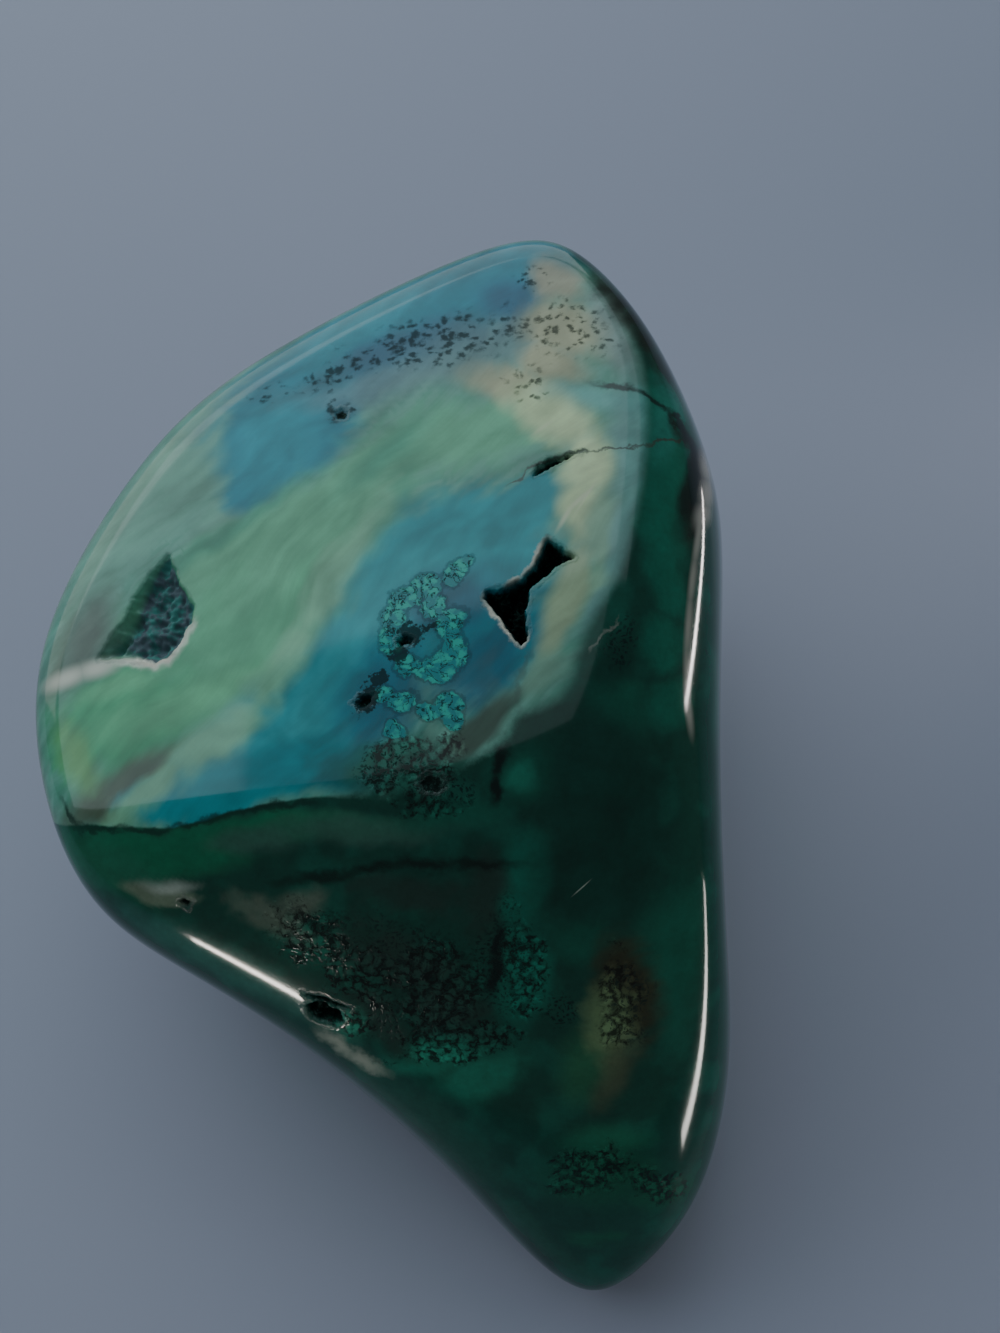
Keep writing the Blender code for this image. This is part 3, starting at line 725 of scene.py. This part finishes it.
def scaled(colour, amount):
    """A colour made this many times as bright."""
    return Field.node("ShaderNodeVectorMath", {"operation": "SCALE"}, {0: colour, "Scale": amount})


def moved(where, shift, amount):
    """Coordinates moved by a noise's colour, by up to this many millimetres."""
    return Field.node("ShaderNodeVectorMath", {"operation": "MULTIPLY_ADD"},
                      {0: shift, 1: (amount, amount, amount), 2: where})


FLAT = 1000  # so deep a stretch leaves a pattern the same all through


def stretched(where, middle, turn, along, across, deep=FLAT):
    """Coordinates drawn out along one direction across the show side."""
    return Field.node("ShaderNodeMapping", {"vector_type": "TEXTURE"},
                      {"Vector": where, "Location": (*middle, 0), "Rotation": (0, 0, math.radians(turn)),
                       "Scale": (along, across, deep)})


def kept(name, output="Fac"):
    """What was kept at the corners under this name."""
    return Field.node("ShaderNodeAttribute", {"attribute_name": name}, {}, output)


def line(where, points, half_width, softness):
    """How strongly a place lies on a thin line through the points, made of long narrow ovals."""
    nearness = None
    for start, end in zip(points, points[1:]):
        run, rise = end[0] - start[0], end[1] - start[1]
        middle = (start[0] + run / 2, start[1] + rise / 2)
        turn = math.degrees(math.atan2(rise, run))
        oval = stretched(where, middle, turn, 1.25 * math.hypot(run, rise), 2 * half_width)
        oval = Field.node("ShaderNodeTexGradient", {"gradient_type": "SPHERICAL"}, {"Vector": oval}, 1)
        nearness = oval if nearness is None else oval.maths("MAXIMUM", nearness, oval)
    return fade(nearness, 0.5 - softness / 2, 0.5 + softness / 2)


polish = bpy.data.materials.new("polished malachite")
polish.use_nodes = True
Field.tree = polish.node_tree
surface = polish.node_tree.nodes["Principled BSDF"]

# Places in millimetres from the heart, upright, and then turned to face the show side square on.
upright = Field.node("ShaderNodeMapping", {},
                     {"Vector": Field.node("ShaderNodeTexCoord", {}, {}, "Object"),
                      "Location": (0, 0, -HEART_HEIGHT), "Scale": (1000, 1000, 1000)})
seen = Field.node("ShaderNodeMapping", {},
                  {"Vector": upright, "Rotation": (math.radians(SHOW_RISE - 90), 0, 0)})
inside_rim, shown = kept("inside rim"), kept("shown")

# Three sizes of natural variation: long strands across the crown, soft mist and fine grain.
across = Field.node("ShaderNodeSeparateXYZ", {}, {0: seen}, "X")
swept = Field.node("ShaderNodeTexNoise", {}, {"Vector": seen, "Scale": 1 / 22, "Detail": 1.0}, "Color")
swept = moved(seen, swept, 14)
strands = clouds(stretched(swept, (-60, -40), GRAIN_TURN, 4.5, 0.24, 2.0), 1.0, 3.0, 0.6, flat=False)
mist = clouds(seen, 3.2, 3.0, 0.6, flat=False)
fine = clouds(seen, 0.55, 3.0, 0.65, flat=False)

crown = scaled(kept("crown tint", "Color"), 0.74 + 0.18 * strands + 0.22 * mist + 0.12 * fine)
front = scaled(kept("front tint", "Color"), 0.45 + 0.7 * mist + 0.4 * fine)


def growth_rings(middle, spacing):
    """Rings of growth around a middle in the stone, this many millimetres apart, from 0 to 1."""
    placed = Field.node("ShaderNodeMapping", {"vector_type": "TEXTURE"},
                        {"Vector": upright, "Location": middle})
    return Field.node("ShaderNodeTexWave", {"wave_type": "RINGS", "rings_direction": "SPHERICAL"},
                      {"Vector": placed, "Scale": math.pi / 10 / spacing, "Distortion": 5.0, "Detail": 1.0,
                       "Detail Scale": 0.8}, "Fac")


rings = growth_rings((16, 24, -22), 3.4)
rings = rings + growth_rings((-36, 8, -18), 2.3) * growth_rings((20, -30, -30), 5.1)
front = scaled(front, 1 + (1 - shown) * (0.75 * rings - 0.48))

# Specks of dark mineral, crusts of turquoise and green knobs, and the dark matrix between them.
WANDER = 2.4  # how far an edge strays, on average by half of this up and to the right
shift = Field.node("ShaderNodeTexNoise", {},
                   {"Vector": seen, "Scale": 0.45, "Detail": 4.0, "Roughness": 0.6}, "Color")
wandering = moved(seen, shift, WANDER)
diagonal, beige = kept("diagonal specks"), kept("beige specks")
turquoise, green = kept("turquoise"), kept("green crusts")
rim_highlights, blue_linings = kept("rim highlights"), kept("blue linings")

knob = cells(wandering, 0.95) + 0.8 * (fine - 0.5)
grain = cells(wandering, 0.44) + 1.0 * (fine - 0.5)
crust = shown * fade(green + 2.2 * (mist - 0.5) + 1.2 * (fine - 0.5), -0.1, 0.4)
knobbly = 1 + crust * (1.1 * fade(knob, 0.56, 0.16) + 0.7 * fade(grain, 0.5, 0.2) - 0.85)
ragged = fade(across, -12, -4)
soft = 0.7 * ragged
ragged = ragged * fade(across, 10, 5)
stray = (0.1 + 0.9 * ragged) * (1.6 * mist + 0.8 * fine - 1.2)
# the crown's tints, partly painted reflection, cover the top face inside its rim
on_crown = shown * fade(inside_rim + stray, -0.15 - soft, 0.15 + soft)
colour = scaled(painted(front, on_crown, crown), knobbly)

HAZE_BLUE = (0.040, 0.110, 0.150, 1)
haze = fade(diagonal + 1.6 * (mist - 0.5), -0.4, 0.7)
colour = painted(colour, 0.34 * shown * haze, HAZE_BLUE)
speck = cells(stretched(wandering, (0, 0), 12, 1.5, 1.0), 0.85) + 0.8 * (fine - 0.5)
thick = fade(diagonal + 2.0 * (mist - 0.5), -0.35, 0.35)
specks = thick * fade(speck - 0.22 * diagonal - 0.7 * (mist - 0.5), 0.40, -0.02)
thick = fade(beige + 1.8 * (mist - 0.5), -0.3, 0.4)
beige_specks = thick * fade(speck - 0.10 * beige - 0.4 * (mist - 0.5), 0.36, 0.0)
specks = shown * specks.maths("MAXIMUM", specks, beige_specks)

TURQUOISE_PALE = (0.012, 0.46, 0.36, 1)
TURQUOISE_DEEP = (0.0, 0.24, 0.25, 1)
bloom = shown * fade(turquoise + 1.1 * (mist - 0.5) + 0.9 * (fine - 0.5), -0.10, 0.08)
colour = painted(colour, 0.97 * bloom, painted(TURQUOISE_PALE, fade(knob, 0.16, 0.56), TURQUOISE_DEEP))
crinkle = clouds(wandering, 0.95, 3.0, 0.6) - 0.5
crinkle = fade(crinkle.maths("ABSOLUTE", crinkle, 0), 0.045, 0.010)
around = shown * fade(turquoise + 1.1 * (mist - 0.5) + 0.9 * (fine - 0.5), -0.34, -0.14) - bloom
outline = bloom * crinkle * fade(knob, 0.10, 0.34) + 0.4 * around
between = shown * fade(kept("matrix") + 2.4 * (fine - 0.5) + 1.2 * (mist - 0.5), -0.15, 0.15)
# painted shade: the front pits have no depth, so they are painted dark and dull as holes would look
pitted = shown * fade(kept("front pits") + 1.8 * (mist - 0.5), -0.3, 0.5) * fade(grain, 0.44, 0.08)
hollows = specks.maths("MAXIMUM", 0.74 * specks, 0.85 * pitted)
hollows = hollows.maths("MAXIMUM", hollows, 0.85 * outline)
hollows = hollows.maths("MAXIMUM", hollows, 0.85 * between)

# veins, and painted shade along the right rim
for name, tint, strength, half_width, softness, points in VEINS_AND_RIM_SHADE:
    points = [(x + WANDER / 2, y + WANDER / 2) for x, y in points]
    colour = painted(colour, strength * shown * line(wandering, points, half_width, softness), (*tint, 1))
# scratches, and painted highlights on a vug lip and along the right rim
for name, tint, strength, half_width, softness, points in WEAR_AND_PAINTED_HIGHLIGHTS:
    colour = painted(colour, strength * shown * line(seen, points, half_width, softness), (*tint, 1))

# The vugs have a ragged lining, dark or blue-green, and a rim where it ends, dark, or pale with a painted
# highlight.
RIM_DARK, RIM_HIGHLIGHT = (0.02, 0.07, 0.055, 1), (0.62, 0.60, 0.49, 1)
LINING_DARK, LINING_GREEN = (0.003, 0.014, 0.011, 1), (0.035, 0.100, 0.080, 1)
LINING_SLATE, LINING_TEAL = (0.090, 0.135, 0.155, 1), (0.065, 0.250, 0.220, 1)
# HOLLOW_DARK is the dull dark of specks, matrix and crust edges, and painted shade in the front pits
HOLLOW_DARK, HOLLOW_SLATE = (0.0025, 0.014, 0.013, 1), (0.050, 0.095, 0.100, 1)
mouth_at = kept("mouth")
crystals = clouds(upright, 0.5, 4.0, 0.7, flat=False)
lumps = clouds(upright, 1.6, 3.0, 0.6, flat=False)
rim = fade(mouth_at + 0.5 * (crystals - 0.5), -0.50, -0.20) * fade(mouth_at, 0.12, -0.04)
highlighted = fade(rim_highlights, -0.2, 0.5)
# painted highlight: the rim turns pale inside the highlight ovals
colour = painted(colour, rim * (0.3 + 0.65 * highlighted), painted(RIM_DARK, highlighted, RIM_HIGHLIGHT))
Field.tree.links.new(colour.socket, surface.inputs["Base Color"])
blue_lined = fade(blue_linings, -0.2, 0.2)
lining = painted(LINING_DARK, fade(crystals, 0.50, 0.70), LINING_GREEN)
blue = painted(LINING_SLATE, fade(0.15 * crystals + 0.85 * lumps, 0.44, 0.62), LINING_TEAL)
lining = painted(lining, blue_lined, blue)
in_vug = fade(mouth_at + 0.3 * (crystals - 0.5), -0.02, 0.2 + 1.5 * fade(across, -27.5, -31.5))
hollow_tint = painted(painted(HOLLOW_DARK, blue_lined, HOLLOW_SLATE), in_vug, lining)

# The polish is glassy, with fine wheel marks; the hollows and specks are dull.
wheel = clouds(Field.node("ShaderNodeMapping", {"vector_type": "TEXTURE"}, {
    "Vector": upright, "Rotation": (0.3, 0.5, 1.1), "Scale": (6.0, 0.05, 0.05)}), 1.0, 1.0, flat=False)
GLASSY = 0.055
REFRACTION = 1.5
gloss = GLASSY + 0.05 * strands + 0.07 * fade(wheel, 0.6, 0.75) + 0.06 * pitted + 0.15 * rim
Field.tree.links.new(gloss.socket, surface.inputs["Roughness"])
surface.inputs["IOR"].default_value = REFRACTION
relief = (2.4 - 2.0 * blue_lined) * (in_vug + 0.3 * rim) * crystals - 0.08 * pitted
bump = Field.node("ShaderNodeBump", {}, {"Height": relief, "Strength": 0.8, "Distance": 0.00012})
Field.tree.links.new(bump.socket, surface.inputs["Normal"])
dull = Field.node("ShaderNodeBsdfPrincipled", {},
                  {"Base Color": hollow_tint, "Roughness": 0.7, "IOR": REFRACTION,
                   "Specular IOR Level": 0.15, "Normal": bump})
in_hollow = hollows.maths("MAXIMUM", hollows, in_vug)
finish = Field.node("ShaderNodeMixShader", {}, {0: in_hollow, 1: Field(surface.outputs[0]), 2: dull})
Field.tree.links.new(finish.socket, polish.node_tree.nodes["Material Output"].inputs["Surface"])
stone.data.materials.append(polish)
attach(stone, "root")
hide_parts("malachite_stone")

# The table top is a plain pale blue-grey sheet, wide enough to fill the view. It is a single plane and
# only a stage for the stone.
FLOOR_WIDTH = 3.0
FLOOR_TINT = (0.41, 0.44, 0.56, 1)
bpy.ops.mesh.primitive_plane_add(size=FLOOR_WIDTH)
floor = bpy.context.object
floor.name = "floor"
sheet = bpy.data.materials.new("pale floor")
sheet.use_nodes = True
sheet.node_tree.nodes["Principled BSDF"].inputs["Base Color"].default_value = FLOOR_TINT
sheet.node_tree.nodes["Principled BSDF"].inputs["Roughness"].default_value = 0.6
floor.data.materials.append(sheet)

# Soft studio light comes from large panels overhead and behind, over a dim blue sky. Three narrow cards
# stand close to the stone, low down, and draw the bright lines along its ridges.
SKY_TINT = (0.8, 0.9, 1.0, 1)
SKY_STRENGTH = 0.12
world = bpy.data.worlds.new("studio")
bpy.context.scene.world = world
world.use_nodes = True
world.node_tree.nodes["Background"].inputs["Color"].default_value = SKY_TINT
world.node_tree.nodes["Background"].inputs["Strength"].default_value = SKY_STRENGTH
DAYLIGHT = (0.78, 0.92, 1.0)
SOFTBOXES = (  # name, place and aim in metres, width, height, watts per square metre, colour, roll, spread
    ("overhead softbox",
     (-0.62, 0.805, 0.60), (-0.62, 0.805, 0), 1.5, 1.13, 3.8, DAYLIGHT, 0, 180),
    ("overhead softbox, left front",
     (-0.91, 0.055, 0.60), (-0.91, 0.055, 0), 0.92, 0.37, 3.8, DAYLIGHT, 0, 180),
    ("overhead softbox, dim front",
     (-0.16, 0.055, 0.60), (-0.16, 0.055, 0), 0.58, 0.37, 1.2, DAYLIGHT, 0, 180),
    ("overhead softbox, right edge",
     (0.20, 0.78, 0.60), (0.20, 0.78, 0), 0.14, 1.18, 1.7, DAYLIGHT, 0, 180),
    ("low right card, rear",
     (0.124, 0.040, 0.034), (0, 0.010, 0.040), 0.096, 0.0026, 24, (1.0, 0.93, 0.90), -38, 70),
    ("low right card, front",
     (0.103, -0.079, 0.021), (0, 0, 0.030), 0.086, 0.0058, 10.5, (1.0, 0.97, 0.90), 17, 70),
    ("low left card",
     (-0.061, -0.115, 0.029), (0, 0, 0.030), 0.030, 0.0030, 24, (1.0, 0.93, 0.84), 0, 70),
    ("back softbox",
     (-0.45, 0.75, 0.20), (0, 0, 0.05), 1.6, 0.42, 3.4, (1.0, 0.97, 0.93), 0, 180),
)
for name, place, toward, width, height, brightness, colour, roll, spread in SOFTBOXES:
    bpy.ops.object.light_add(type="AREA", location=place)
    lamp = bpy.context.object
    lamp.name = name
    lamp.data.shape = "RECTANGLE"
    lamp.data.size, lamp.data.size_y = width, height
    lamp.data.energy = brightness * width * height
    lamp.data.color = colour
    lamp.data.spread = math.radians(spread)
    aim = (Vector(toward) - Vector(place)).to_track_quat("-Z", "Y").to_matrix()
    lamp.rotation_euler = (aim @ Matrix.Rotation(math.radians(roll), 3, "Z")).to_euler()
    lamp.visible_camera = False

# The camera looks down on the show side from the front through a 50 mm lens, from about 185 mm away,
# with the heart of the stone a little left of the middle and below it.
CAMERA_DISTANCE = 185.1
CAMERA_RIGHT, CAMERA_UP = 5.0, 5.35
FOCAL_LENGTH, SENSOR_WIDTH = 50, 36
bpy.ops.object.camera_add()
camera = bpy.context.object
camera.data.lens = FOCAL_LENGTH
camera.data.sensor_width = SENSOR_WIDTH
heart = np.array((0, 0, HEART_HEIGHT))
aside = CAMERA_RIGHT * np.array((1, 0, 0)) + CAMERA_UP * SHOW_UP
camera.location = (heart + aside + CAMERA_DISTANCE * SHOW_TOWARD) / 1000
camera.rotation_euler = (math.radians(90 - SHOW_RISE), 0, 0)
camera.data.clip_start = 0.01
bpy.context.scene.camera = camera
